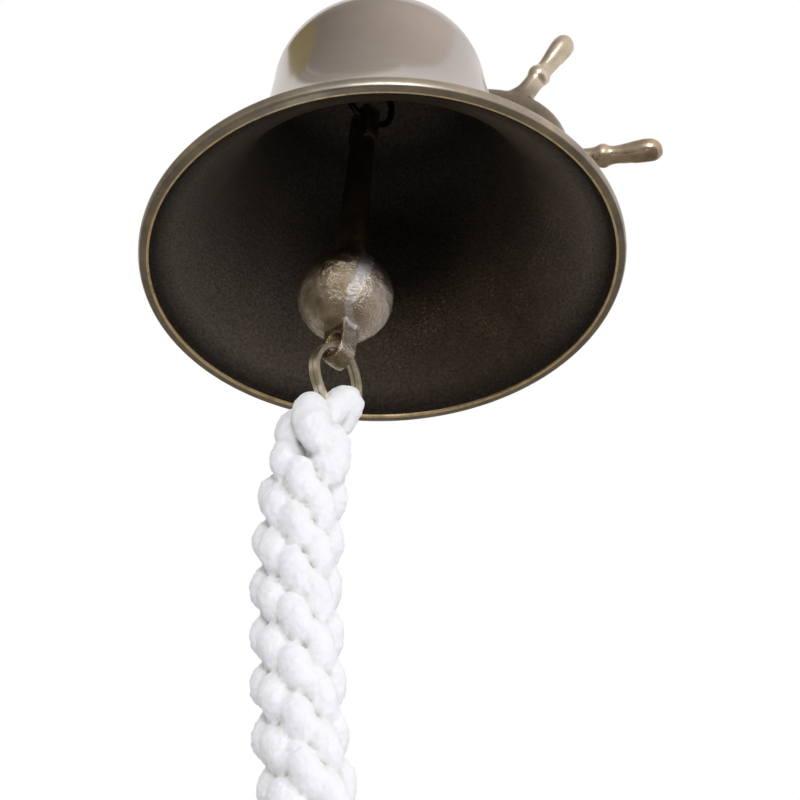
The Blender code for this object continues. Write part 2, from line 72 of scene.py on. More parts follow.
# Bell, as in the solids
HANG_POINT = Vector((0.0, -0.104, -0.0244))
HANG_HEIGHT = 0.115
BELL_TILT = math.radians(7.4)
MOUTH_RADIUS = 0.075
LIP_WIDTH = 0.0034
LIP_DROP = 0.0012
LIP_BEAD = 0.0032
SHOULDER_RADIUS = 0.035
SHOULDER_HEIGHT = 0.0807
CROWN_HEIGHT = 0.1014
CROWN_FLAT = 0.010
FLARE_REACH = Vector((0.0213, 0.0088))
WAIST_REACH = Vector((0.0036, 0.0338))
WALL = 0.003
CROWN_WALL = 0.004
BOLT_HOLE = 0.0043

# Bell, as drawn here: curve shares, the bead's swell and the wear of the lip's inner edge
FOOT_INSET = 0.44
CROWN_RISE = 0.43
CROWN_INSET = 0.72
BROW_INSET = 0.3
BROW_DROP = 0.92
BEAD_SWELL = 0.0003
EDGE_WEAR = 0.0008
EDGE_CLEAR = 0.003
EDGE_LEAD = Vector((-0.0008, 0.0008))
FLANK_REACH = 0.0012
FLARE_POINTS = 90
CROWN_POINTS = 50
BEAD_POINTS = 16
LEAD_POINTS = 7
EDGE_POINTS = 5
BELL_STEPS = 224
OUTSIDE, LIP, EDGE, INSIDE = range(4)

# Clapper: its ball, the strip ground along it, the lug's ground side and the painted shade on its rod
BALL_RADIUS = 0.0148
BALL_CENTRE = Vector((0.0051, -0.1065, -0.1514))
BALL_SKIN = 1.12
# The strip's line in ball radii, as (up the picture, right of the middle, half width)
STRIP_LINE = (
    (0.95, 0.50, 0.15),
    (0.50, 0.41, 0.16),
    (0.12, 0.23, 0.17),
    (-0.20, 0.09, 0.11),
    (-0.70, 0.17, 0.12),
)
STRIP_BACK = 0.004
STRIP_EDGE = 0.04
STRIP_DEPTH = 0.00025
STRIP_CALM = 0.6
LUG_FACING = Vector((0.857, -0.515, 0))
LUG_SHARE = 0.35
LUG_SQUARE = 0.8
LUG_SHARPNESS = 6
# How the rod's painted shade starts just above the ball, how fast it comes in, and how dark it gets
ROD_FOOT = 1.02
ROD_FADE = 0.02
ROD_SHADE = 0.85

# Rings: the split ring's two turns and the crown ring's wire
RING_TURN = math.radians(75)
SPLIT_RING_MIDDLE = 0.01155
SPLIT_RING_WALL = 0.0019
SPLIT_RING_WIDTH = 0.003
SPLIT_RING_GAP = 0.00006
SPLIT_RING_TURNS = 1.94
SPLIT_RING_START = math.radians(-80)
SPLIT_RING_STEPS = 190
SPLIT_RING_SIDES = 12
SPLIT_RING_DRAW = 0.55
SPLIT_RING_DRAW_FROM = -0.6
SPLIT_RING_CROSSING = 0.9
SPLIT_RING_CROSS_RATE = 5
SPLIT_RING_SQUARE = 0.72
SPLIT_RING_SQUARE_NEAR = 0.23
SPLIT_RING_FIT = 2.15
SPLIT_RING_END = 0.82
CROWN_RING_TURN = math.radians(58)
CROWN_RING_RADIUS = 0.0101
CROWN_RING_WIRE = 0.0011
CROWN_RING_STEPS = 96
CROWN_RING_SIDES = 16

# Lanyard, from the saddle on the split ring down to its knot
SADDLE = Vector((0.006416, -0.107322, -0.194977))
SINNET_ROUTE = (
    (-0.0040, -0.0075),
    (-0.0042, -0.020),
    (-0.0040, -0.040),
    (-0.0016, -0.064),
    (0.0019, -0.086),
    (0.0058, -0.108),
    (0.0105, -0.126),
    (0.0134, -0.137),
)
SINNET_POINTS = 57
PLAIT_COLUMNS = 8
PLAIT_PITCH = 0.0154
PLAIT_START = 0.0086
PLAIT_AZIMUTH = math.radians(-74)
PLAIT_LEAN = math.radians(20)
PLAIT_TOP = 0.010
PLAIT_END_GAP = 0.002
PLAIT_SPARE_ROWS = 5
STITCH_LENGTH = 0.0096
STITCH_WIDTH = 0.0046
STITCH_DEPTH = 0.0051
STITCH_CENTRE = 0.0078
STITCH_DIP = 0.0054
STITCH_UNEVEN = 0.10
STITCH_SHIFT = 0.0008
# The seed of the stitches' unevenness, which the clock would set otherwise
STITCH_SEED = 3
STITCH_SIDES = 14
STITCH_HALF_POINTS = 5
STITCH_TIP = 0.12
STITCH_BLUNTNESS = 2.6
CORE_RADIUS = 0.0056
CORE_START = 0.003
CORE_END_GAP = 0.0004
CORE_STEPS = 40
CORE_SIDES = 20

# The cords over the ring and into the plait, as (points to read, half width, half depth, route in mm)
CORD_FRONT = Vector((0.39, -0.92, 0))
OVER_RING = (
    (-1.5, 5.5, -10),
    (0.9, 5.8, -3),
    (2.6, 5.2, 2.2),
    (3.2, 4.3, 5.2),
    (1.4, 2.2, 2.6),
    (0.8, -1.0, -4),
    (2.2, -2.7, -10),
)
TOP_CORDS = (
    (25, 0.0048, 0.0048, OVER_RING),
    (17, 0.0056, 0.0050, ((-4.6, -5.0, 0.6), (-3.4, -6.6, -6), (-0.6, -8.2, -14), (3.2, -9.4, -23))),
    (17, 0.0046, 0.0046, ((-9.0, 2.0, 1.0), (-10.6, -0.5, -6), (-9.6, -3.2, -13), (-6.5, -5.0, -20))),
    (13, 0.0046, 0.0044, ((-6.5, -2.5, -6), (-5.5, -3.6, -12), (-4.2, -4.6, -18))),
    (17, 0.0052, 0.0048, ((-5.0, 6.4, -1.0), (-3.6, 7.4, -8), (-1.4, 7.4, -15), (0.8, 6.6, -22))),
    (17, 0.0050, 0.0046, ((3.0, -4.2, -10), (4.0, -3.8, -16), (4.6, -3.4, -23), (4.6, -2.6, -31))),
)

# End knot: two rows of leaning cords about a filled middle
KNOT_RADIUS = 0.0155
KNOT_HALF_HEIGHT = 0.0125
KNOT_GAP = 0.0003
KNOT_ROWS = 2
KNOT_CORDS = 7
KNOT_HALF_POINTS = 6
KNOT_WIDTH = 0.0048
KNOT_DEPTH = 0.0042
KNOT_INSET = 0.0044
KNOT_DIP = 0.0018
KNOT_SWEEP = 0.62
KNOT_ROW_TOP = 0.36
KNOT_ROW_STEP = 0.72
KNOT_ROW_LEAN = 0.42
KNOT_FILL_HEIGHT = 0.86
KNOT_FILL_RADIUS = 0.74
KNOT_FILL_STEPS = 16
KNOT_FILL_SIDES = 24
KNOT_FILL_POLE = 0.04
KNOT_LEAST_BELLY = 0.05

# Skins: the fittings' bevel, how finely shapes are joined, and noise as (how fine, how far)
FITTING_BEVEL = 0.0004
CAST_VOXEL = 0.0005
CLAPPER_ROUNDS = 12
ARM_ROUNDS = 10
WHEEL_VOXEL = 0.00055
WHEEL_ROUNDS = 26
COTTON_VOXEL = 0.0005
COTTON_ROUNDS = 15
COTTON_LUMPS = ((260, 0.0004), (700, 0.00026), (1400, 0.00022))
# How the cotton's hollows are found and how deep a hollow takes the fullest painted shade
HOLLOW_ROUNDS = 140
HOLLOW_DEPTH = 0.0010
CAST_LUMPS = ((330, 0.00022), (900, 0.00010))
STRIP_WANDER = ((260, 0.06), (800, 0.03))


def limit(value):
    """A value kept between 0 and 1."""
    return max(0.0, min(1.0, value))


def waves(at, lumps):
    """The sum of noises at a place."""
    return sum(noise.noise(at * fine) * far for fine, far in lumps)


def bezier(start, first, second, end, count):
    """Points along a cubic curve, both ends included."""
    points = []
    for i in range(count):
        t = i / (count - 1)
        u = 1 - t
        points.append(start * u**3 + first * (3 * t * u**2) + second * (3 * t**2 * u) + end * t**3)
    return points


def smooth_through(points, count):
    """Points read evenly from a smooth curve through the given ones."""
    ends = [points[0] * 2 - points[1], *points, points[-1] * 2 - points[-2]]
    spans = len(points) - 1
    read = []
    for i in range(count):
        at = i / (count - 1) * spans
        k = min(int(at), spans - 1)
        t = at - k
        a, b, c, d = ends[k : k + 4]
        bend = (a * 2 - b * 5 + c * 4 - d) * t**2 + (b * 3 - a - c * 3 + d) * t**3
        read.append(b + ((c - a) * t + bend) / 2)
    return read


def line_length(points):
    """The length of a line through points."""
    return sum((b - a).length for a, b in zip(points, points[1:]))


def add(name, bm, materials, smooth=40):
    """An object from a bmesh, smooth except at sharp edges."""
    bmesh.ops.recalc_face_normals(bm, faces=bm.faces)
    mesh = bpy.data.meshes.new(name)
    bm.to_mesh(mesh)
    bm.free()
    mesh.shade_smooth()
    mesh.set_sharp_from_angle(angle=math.radians(smooth))
    for material in materials:
        mesh.materials.append(material)
    thing = bpy.data.objects.new(name, mesh)
    bpy.context.scene.collection.objects.link(thing)
    return thing


def stand_for(thing, body, slot, *cad_nodes):
    """Lets a piece ride on its body in place of the plain solids."""
    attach(thing, body)
    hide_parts(*cad_nodes)


def skin(bm, sections, closed=False):
    """Faces over equal rings of points, with end caps, or joined into a loop."""
    rings = [[bm.verts.new(p) for p in section] for section in sections]
    count = len(rings[0])
    pairs = list(zip(rings, rings[1:]))
    if closed:
        pairs.append((rings[-1], rings[0]))
    for low, high in pairs:
        for k in range(count):
            n = (k + 1) % count
            bm.faces.new((low[k], low[n], high[n], high[k]))
    if not closed:
        bm.faces.new(rings[0])
        bm.faces.new(rings[-1])


def soften(thing, rounds):
    """Adds a modifier that evens out a piece's skin."""
    modifier = thing.modifiers.new("soften", "SMOOTH")
    modifier.factor = 0.5
    modifier.iterations = rounds


def apply_modifiers(thing):
    """Replaces a piece's mesh by the one its modifiers make."""
    graph = bpy.context.evaluated_depsgraph_get()
    mesh = bpy.data.meshes.new_from_object(thing.evaluated_get(graph))
    thing.modifiers.clear()
    old = thing.data
    thing.data = mesh
    bpy.data.meshes.remove(old)


def melt(thing, voxel, rounds):
    """Joins a piece's overlapping shapes into one skin and softens it."""
    remesh = thing.modifiers.new("join", "REMESH")
    remesh.mode = "VOXEL"
    remesh.voxel_size = voxel
    soften(thing, rounds)
    apply_modifiers(thing)
    thing.data.shade_smooth()


def cast_copy(node, name, material, voxel, rounds):
    """A piece with a casting's soft edges, made from a solid's own shape."""
    thing = bpy.data.objects.new(name, nodes[node].data.copy())
    bpy.context.scene.collection.objects.link(thing)
    melt(thing, voxel, rounds)
    thing.data.materials.clear()
    thing.data.materials.append(material)
    return thing


def paint(thing, name, shares):
    """Stores a share from 0 to 1 on each vertex."""
    attribute = thing.data.attributes.new(name, "FLOAT", "POINT")
    for vertex, share in enumerate(shares):
        attribute.data[vertex].value = share


def node_material(name):
    """A new material, its tree and its shader."""
    material = bpy.data.materials.new(name)
    material.use_nodes = True
    return material, material.node_tree, material.node_tree.nodes["Principled BSDF"]


def place(tree):
    """A place's coordinates in its piece."""
    return tree.nodes.new("ShaderNodeTexCoord").outputs["Object"]


def painted(tree, name):
    """The share that the vertices store under a name."""
    node = tree.nodes.new("ShaderNodeAttribute")
    node.attribute_name = name
    return node.outputs["Fac"]


def noise_field(tree, where, scale, detail=4, roughness=0.55):
    """Cloudy noise; the scale says how fine it is."""
    field = tree.nodes.new("ShaderNodeTexNoise")
    field.inputs["Scale"].default_value = scale
    field.inputs["Detail"].default_value = detail
    field.inputs["Roughness"].default_value = roughness
    tree.links.new(where, field.inputs["Vector"])
    return field.outputs["Fac"]


def ramp(tree, value, stops):
    """Maps a value through colour stops given as (position, (r, g, b))."""
    node = tree.nodes.new("ShaderNodeValToRGB")
    tree.links.new(value, node.inputs["Fac"])
    elements = node.color_ramp.elements
    for k, (at, color) in enumerate(stops):
        element = elements[k] if k < 2 else elements.new(at)
        element.position = at
        element.color = (*color, 1)
    return node.outputs["Color"]


def grey(tree, value, low, high, start=0.3, end=0.7):
    """Maps a value to a grey that runs from low at the start to high at the end."""
    return ramp(tree, value, [(start, (low,) * 3), (end, (high,) * 3)])


def mix(tree, factor, first, second, blend="MIX"):
    """Mixes two colours; each is a socket or a plain (r, g, b)."""
    node = tree.nodes.new("ShaderNodeMix")
    node.data_type = "RGBA"
    node.blend_type = blend
    for socket, value in ((node.inputs[0], factor), (node.inputs[6], first), (node.inputs[7], second)):
        if isinstance(value, (int, float)):
            socket.default_value = value
        elif isinstance(value, tuple):
            socket.default_value = (*value, 1)
        else:
            tree.links.new(value, socket)
    return node.outputs[2]


def times(tree, first, second):
    """One colour multiplied by another."""
    return mix(tree, 1.0, first, second, "MULTIPLY")


def bump(tree, shader, height, strength, distance):
    """Gives a shader the small relief of a height."""
    node = tree.nodes.new("ShaderNodeBump")
    node.inputs["Strength"].default_value = strength
    node.inputs["Distance"].default_value = distance
    tree.links.new(height, node.inputs["Height"])
    tree.links.new(node.outputs["Normal"], shader.inputs["Normal"])


def stretched(tree, where, scale):
    """Coordinates scaled by a different amount along each axis."""
    node = tree.nodes.new("ShaderNodeMapping")
    node.inputs["Scale"].default_value = scale
    tree.links.new(where, node.inputs["Vector"])
    return node.outputs["Vector"]


def share_along(tree, where, axis, start, end):
    """A share that runs from 0 to 1 between two places along an axis."""
    split = tree.nodes.new("ShaderNodeSeparateXYZ")
    tree.links.new(where, split.inputs["Vector"])
    share = tree.nodes.new("ShaderNodeMapRange")
    share.inputs["From Min"].default_value = start
    share.inputs["From Max"].default_value = end
    tree.links.new(split.outputs[axis], share.inputs["Value"])
    return share.outputs["Result"]


def share_near(tree, where, centre, reach, full=0.25):
    """A share that is 1 in the inner part of an ellipsoid and falls to 0 at its skin."""
    local = tree.nodes.new("ShaderNodeMapping")
    local.vector_type = "TEXTURE"
    local.inputs["Location"].default_value = centre
    local.inputs["Scale"].default_value = reach
    tree.links.new(where, local.inputs["Vector"])
    far = tree.nodes.new("ShaderNodeVectorMath")
    far.operation = "LENGTH"
    tree.links.new(local.outputs["Vector"], far.inputs[0])
    share = tree.nodes.new("ShaderNodeMapRange")
    share.interpolation_type = "SMOOTHSTEP"
    share.inputs["From Min"].default_value = 1
    share.inputs["From Max"].default_value = full
    tree.links.new(far.outputs["Value"], share.inputs["Value"])
    return share.outputs["Result"]


def polished_outside():
    """Polished antique brass with faint turning lines and cloudy tarnish."""
    material, tree, shader = node_material("polished_antique_brass")
    shader.inputs["Metallic"].default_value = 1
    where = place(tree)
    clouds = noise_field(tree, where, 28, 5)
    tone = ramp(tree, clouds, [(0.3, (0.44, 0.40, 0.365)), (0.7, (0.50, 0.455, 0.42))])
    lines = noise_field(tree, stretched(tree, where, (6, 6, 900)), 1, 3)
    lined = mix(tree, grey(tree, lines, 0.0, 0.2), tone, (0.38, 0.33, 0.27))
    tree.links.new(lined, shader.inputs["Base Color"])
    tree.links.new(grey(tree, clouds, 0.09, 0.14), shader.inputs["Roughness"])
    bump(tree, shader, lines, 0.03, 0.0002)
    return material


def rubbed_lip():
    """The lip: tarnish rubbed back to golden brass in patches."""
    material, tree, shader = node_material("rubbed_brass_lip")
    shader.inputs["Metallic"].default_value = 1
    where = place(tree)
    patches = noise_field(tree, where, 90, 6, 0.65)
    stops = [(0.35, (0.28, 0.255, 0.22)), (0.55, (0.38, 0.34, 0.28)), (0.75, (0.51, 0.44, 0.33))]
    tree.links.new(ramp(tree, patches, stops), shader.inputs["Base Color"])
    tree.links.new(grey(tree, patches, 0.40, 0.30), shader.inputs["Roughness"])
    bump(tree, shader, noise_field(tree, where, 900), 0.05, 0.0002)
    return material


def golden_edge():
    """Bare golden brass where the lip's inner edge is rubbed."""
    material, tree, shader = node_material("golden_brass_edge")
    shader.inputs["Metallic"].default_value = 1
    worn = noise_field(tree, place(tree), 260, 5, 0.7)
    tone = ramp(tree, worn, [(0.30, (0.55, 0.44, 0.26)), (0.52, (1.0, 0.81, 0.49))])
    tree.links.new(tone, shader.inputs["Base Color"])
    shader.inputs["Roughness"].default_value = 0.4
    return material


def inside_tone_and_painted_light(tree, where):
    """The bell's inside without its grain: a cloudy dark tone, with painted light paler towards both sides
    low down, painted shade darkest half-way up its back, and darker just above the lip's edge.
    """
    clouds = noise_field(tree, where, 26, 5, 0.6)
    tone = ramp(tree, clouds, [(0.32, (0.038, 0.030, 0.022)), (0.68, (0.094, 0.069, 0.047))])
    # Painted light: paler towards both side walls, fading out higher up.
    left = mix(tree, share_along(tree, where, "X", 0.01, -0.065), tone, (0.130, 0.113, 0.097))
    both = mix(tree, share_along(tree, where, "X", 0.035, 0.075), left, (0.165, 0.143, 0.12))
    high = mix(tree, share_along(tree, where, "Z", 0.02, 0.07), both, (0.078, 0.066, 0.057))
    # Painted shade: a dark core half-way up the back wall.
    painted_shade_core = share_near(tree, where, (-0.006, 0.038, 0.043), (0.046, 0.05, 0.032))
    deep = mix(tree, painted_shade_core, high, (0.021, 0.017, 0.013))
    return mix(tree, share_along(tree, where, "Z", 0.005, 0.001), deep, (0.030, 0.025, 0.020))


def dark_inside():
    """The bell's inside: near-black brown rough casting with fine specks, painted light and shade, and
    painted golden glints in a band above the lip.
    """
    material, tree, shader = node_material("dark_cast_inside")
    shader.inputs["Metallic"].default_value = 0.6
    where = place(tree)
    grain = noise_field(tree, where, 1000, 3, 0.7)
    grained = times(tree, inside_tone_and_painted_light(tree, where), grey(tree, grain, 0.65, 1.35, 0.35, 0.68))
    speck_and_glint_noise = noise_field(tree, where, 1500, 2, 0.8)
    # Painted glints: golden specks in a band above the lip.
    glint_band = share_near(tree, where, (0, 0, 0.018), (0.12, 0.12, 0.016))
    glint_scatter = times(tree, glint_band, grey(tree, noise_field(tree, where, 70, 3), 0, 1, 0.45, 0.62))
    glint_share = times(tree, glint_scatter, grey(tree, speck_and_glint_noise, 0, 1, 0.58, 0.68))
    flecked = mix(tree, grey(tree, speck_and_glint_noise, 0, 0.8, 0.66, 0.8), grained, (0.26, 0.20, 0.12))
    tree.links.new(mix(tree, glint_share, flecked, (0.42, 0.31, 0.16)), shader.inputs["Base Color"])
    shader.inputs["Roughness"].default_value = 0.45
    shader.inputs["Specular IOR Level"].default_value = 0.2
    bump(tree, shader, grain, 0.7, 0.0010)
    return material


def warm_brass(name, dark, light, roughness, scale):
    """Cast brass, tarnished unevenly in cloudy patches."""
    material, tree, shader = node_material(name)
    shader.inputs["Metallic"].default_value = 1
    where = place(tree)
    clouds = noise_field(tree, where, scale, 5, 0.6)
    tree.links.new(ramp(tree, clouds, [(0.35, dark), (0.68, light)]), shader.inputs["Base Color"])
    tree.links.new(grey(tree, clouds, roughness + 0.06, roughness - 0.04), shader.inputs["Roughness"])
    bump(tree, shader, noise_field(tree, where, 500, 4), 0.06, 0.0003)
    return material


def wheel_brass():
    """The wheel: dull brown brass, with handles that are rubbed brighter, and painted light that makes the
    upper ones palest.
    """
    material, tree, shader = node_material("antique_brass_wheel")
    shader.inputs["Metallic"].default_value = 1
    where = place(tree)
    clouds = noise_field(tree, where, 55, 5, 0.6)
    dull = ramp(tree, clouds, [(0.35, (0.24, 0.205, 0.165)), (0.68, (0.41, 0.36, 0.295))])
    brown = ramp(tree, clouds, [(0.38, (0.27, 0.20, 0.125)), (0.64, (0.62, 0.52, 0.39))])
    pale = ramp(tree, clouds, [(0.35, (0.47, 0.40, 0.30)), (0.68, (0.82, 0.73, 0.60))])
    # Painted light: the higher a handle, the paler its brass.
    rubbed_and_lit = mix(tree, share_along(tree, where, "Z", 0.012, 0.045), brown, pale)
    wheel_middle = share_near(tree, where, (0, 0, 0), (0.056, 0.2, 0.056), 0.8)
    tree.links.new(mix(tree, wheel_middle, rubbed_and_lit, dull), shader.inputs["Base Color"])
    tree.links.new(grey(tree, clouds, 0.30, 0.23), shader.inputs["Roughness"])
    bump(tree, shader, noise_field(tree, where, 500, 4), 0.02, 0.0003)
    return material


def rough_casting():
    """The clapper: brown rough casting, paler towards the ball's right as painted light, with a pale
    ground strip along the ball and a rod darkened as painted shade.
    """
    material, tree, shader = node_material("rough_cast_brass")
    shader.inputs["Metallic"].default_value = 1
    where = place(tree)
    clouds = noise_field(tree, where, 120, 4)
    stops = [(0.28, (0.165, 0.11, 0.07)), (0.46, (0.29, 0.235, 0.145)), (0.72, (0.53, 0.465, 0.39))]
    # Painted light: the ball paler towards its right, the side the lamps light.
    lit_right = share_along(tree, where, "X", 0.007, 0.019)
    cast = mix(tree, lit_right, ramp(tree, clouds, stops), (0.60, 0.525, 0.47))
    scratches = noise_field(tree, stretched(tree, where, (300, 300, 2600)), 1, 3)
    pale = ramp(tree, scratches, [(0.3, (0.49, 0.465, 0.455)), (0.7, (0.74, 0.705, 0.70))])
    ground = painted(tree, "ground")
    tone = mix(tree, ground, cast, pale)
    # Painted shade: the rod inside the bell darkened.
    tree.links.new(mix(tree, painted(tree, "dark"), tone, (0.30, 0.25, 0.19)), shader.inputs["Base Color"])
    tree.links.new(mix(tree, ground, (0.19,) * 3, (0.30,) * 3), shader.inputs["Roughness"])
    bump(tree, shader, noise_field(tree, where, 1300, 4, 0.6), 0.6, 0.0008)
    return material


def cotton():
    """Soft white cotton: grey-beige painted shade in the hollows, with a fine fibrous surface."""
    material, tree, shader = node_material("white_cotton")
    stops = [(0.0, (0.79, 0.79, 0.825)), (0.5, (0.68, 0.67, 0.655)), (1.0, (0.36, 0.34, 0.31))]
    # Painted shade: the deeper a hollow, the greyer and darker the cotton.
    tree.links.new(ramp(tree, painted(tree, "hollow"), stops), shader.inputs["Base Color"])
    shader.inputs["Roughness"].default_value = 0.95
    shader.inputs["Specular IOR Level"].default_value = 0.15
    shader.inputs["Sheen Weight"].default_value = 0.15
    shader.inputs["Sheen Roughness"].default_value = 0.6
    shader.inputs["Subsurface Weight"].default_value = 0.2
    shader.inputs["Subsurface Radius"].default_value = (1, 0.95, 0.9)
    shader.inputs["Subsurface Scale"].default_value = 0.002
    fibres = noise_field(tree, stretched(tree, place(tree), (1500, 1500, 500)), 1, 5, 0.7)
    bump(tree, shader, fibres, 0.26, 0.0006)
    return material


def leather():
    """Dark brown leather."""
    material, tree, shader = node_material("leather_washer")
    grain = noise_field(tree, place(tree), 900, 4)
    tone = ramp(tree, grain, [(0.3, (0.05, 0.033, 0.02)), (0.7, (0.10, 0.065, 0.04))])
    tree.links.new(tone, shader.inputs["Base Color"])
    shader.inputs["Roughness"].default_value = 0.75
    bump(tree, shader, grain, 0.3, 0.0004)
    return material


bell_axis = Vector((-math.sin(BELL_TILT), 0, math.cos(BELL_TILT)))
bell_mouth = HANG_POINT - bell_axis * HANG_HEIGHT
bell_place = Matrix.Translation(bell_mouth) @ Matrix.Rotation(-BELL_TILT, 4, "Y")


def bell_outer():
    """The bell's outside as (radius, height), from above the lip's bead to the crown's flat."""
    foot = Vector((MOUTH_RADIUS - LIP_BEAD * FOOT_INSET, LIP_BEAD))
    shoulder = Vector((SHOULDER_RADIUS, SHOULDER_HEIGHT))
    crown = Vector((CROWN_FLAT, CROWN_HEIGHT))
    flare = foot + Vector((-FLARE_REACH.x, FLARE_REACH.y))
    waist = shoulder + Vector((WAIST_REACH.x, -WAIST_REACH.y))
    rise = (shoulder - waist).normalized() * (CROWN_HEIGHT - SHOULDER_HEIGHT) * CROWN_RISE
    inset = Vector(((SHOULDER_RADIUS - CROWN_FLAT) * CROWN_INSET, 0))
    outer = bezier(foot, flare, waist, shoulder, FLARE_POINTS)
    return outer + bezier(shoulder, shoulder + rise, crown + inset, crown, CROWN_POINTS)[1:]


def bell_inner(outer, edge_radius):
    """The bell's inside, one wall in from its outside, from the crown down to near the lip."""
    inner = []
    for i in range(1, len(outer) - 1):
        along = (outer[i + 1] - outer[i - 1]).normalized()
        share = max(0, (outer[i].y - SHOULDER_HEIGHT) / (CROWN_HEIGHT - SHOULDER_HEIGHT))
        wall = WALL * (1 - share) + CROWN_WALL * share
        point = outer[i] + Vector((-along.y, along.x)) * wall
        if point.x < edge_radius - EDGE_CLEAR:
            inner.append(point)
    inner.append(Vector((CROWN_FLAT, CROWN_HEIGHT - CROWN_WALL)))
    inner.reverse()
    return inner


def bell_section():
    """The bell's section once round, as (material index of the face that ends there, point)."""
    edge_radius = MOUTH_RADIUS - LIP_WIDTH
    outer = bell_outer()
    inner = bell_inner(outer, edge_radius)
    brow = Vector((MOUTH_RADIUS - LIP_WIDTH * BROW_INSET, -LIP_DROP * BROW_DROP))
    swell = MOUTH_RADIUS + BEAD_SWELL
    bead = bezier(brow, Vector((swell, -LIP_DROP)), Vector((swell, LIP_BEAD)), outer[0], BEAD_POINTS)
    collar = [Vector((BOLT_HOLE, CROWN_HEIGHT)), Vector((BOLT_HOLE, CROWN_HEIGHT - CROWN_WALL))]
    edge_in = Vector((edge_radius, -LIP_DROP + EDGE_WEAR))
    edge_out = Vector((edge_radius + EDGE_WEAR, -LIP_DROP))
    corner = Vector((edge_radius, -LIP_DROP))
    flank = (inner[-1] - inner[-2]).normalized()
    last = bezier(inner[-1], inner[-1] + flank * FLANK_REACH, edge_in + EDGE_LEAD, edge_in, LEAD_POINTS)
    runs = [
        (LIP, [edge_out, (edge_out + brow) / 2, brow]),
        (LIP, bead[1:]),
        (OUTSIDE, outer[1:] + collar),
        (INSIDE, inner + last[1:]),
        (EDGE, bezier(edge_in, corner, corner, edge_out, EDGE_POINTS)[1:-1]),
    ]
    section = [(kind, point) for kind, points in runs for point in points]
    section[0] = (EDGE, edge_out)
    return section


def make_bell():
    """The bell, turned from its section, with a material for each part of its skin."""
    bm = bmesh.new()
    section = bell_section()
    around = [FULL_TURN * k / BELL_STEPS for k in range(BELL_STEPS)]
    rings = []
    for _, p in section:
        rings.append([bm.verts.new((p.x * math.cos(a), p.x * math.sin(a), p.y)) for a in around])
    for i, (kind, _) in enumerate(section):
        low, high = rings[i - 1], rings[i]
        for k in range(BELL_STEPS):
            n = (k + 1) % BELL_STEPS
            face = bm.faces.new((low[k], low[n], high[n], high[k]))
            face.material_index = kind
    bell = add("bell", bm, [polished_outside(), rubbed_lip(), golden_edge(), dark_inside()], 50)
    bell.matrix_world = bell_place
    stand_for(bell, "bracket", "polished_brass", "bell_shell")


def ground_share(co, normal):
    """How fully a place lies on the strip ground along the ball, or on the lug's ground side."""
    out = co - BALL_CENTRE
    if out.y > STRIP_BACK:
        return 0
    if out.length > BALL_RADIUS * BALL_SKIN:
        facing = limit((normal.dot(LUG_FACING) - LUG_SQUARE) * LUG_SHARPNESS)
        return facing * LUG_SHARE if out.z < 0 else 0
    right = out.dot(CAMERA_RIGHT) / BALL_RADIUS
    up = out.dot(CAMERA_UP) / BALL_RADIUS
    for above, below in zip(STRIP_LINE, STRIP_LINE[1:]):
        if up >= below[0]:
            break
    share = limit((up - below[0]) / (above[0] - below[0]))
    middle, half = (below[k] + (above[k] - below[k]) * share for k in (1, 2))
    return limit((half - abs(right - middle + waves(co, STRIP_WANDER))) / STRIP_EDGE)


def make_clapper():
    """The clapper: the solid's shape as a lumpy casting, with its strip ground flat and painted shade on
    its rod.
    """
    clapper = cast_copy("clapper", "cast_clapper", rough_casting(), CAST_VOXEL, CLAPPER_ROUNDS)
    places = [(vertex.co.copy(), vertex.normal.copy()) for vertex in clapper.data.vertices]
    shares = [ground_share(co, normal) for co, normal in places]
    for vertex, (co, normal), share in zip(clapper.data.vertices, places, shares):
        lumps = waves(co, CAST_LUMPS) * (1 - share * STRIP_CALM)
        vertex.co = co + normal * (lumps - share * STRIP_DEPTH)
    paint(clapper, "ground", shares)
    # Painted shade: the rod darkened from just above the ball upward.
    rod_foot = BALL_CENTRE.z + BALL_RADIUS * ROD_FOOT
    paint(clapper, "dark", [limit((co.z - rod_foot) / ROD_FADE) * ROD_SHADE for co, _ in places])
    stand_for(clapper, "clapper", "cast_brass", "clapper")


def ring_frame(box, turn):
    """A ring's centre, a level direction in its plane and the direction through it."""
    low, high = box
    flat = Vector((math.cos(turn), math.sin(turn), 0))
    return (low + high) / 2, flat, Vector((-flat.y, flat.x, 0))


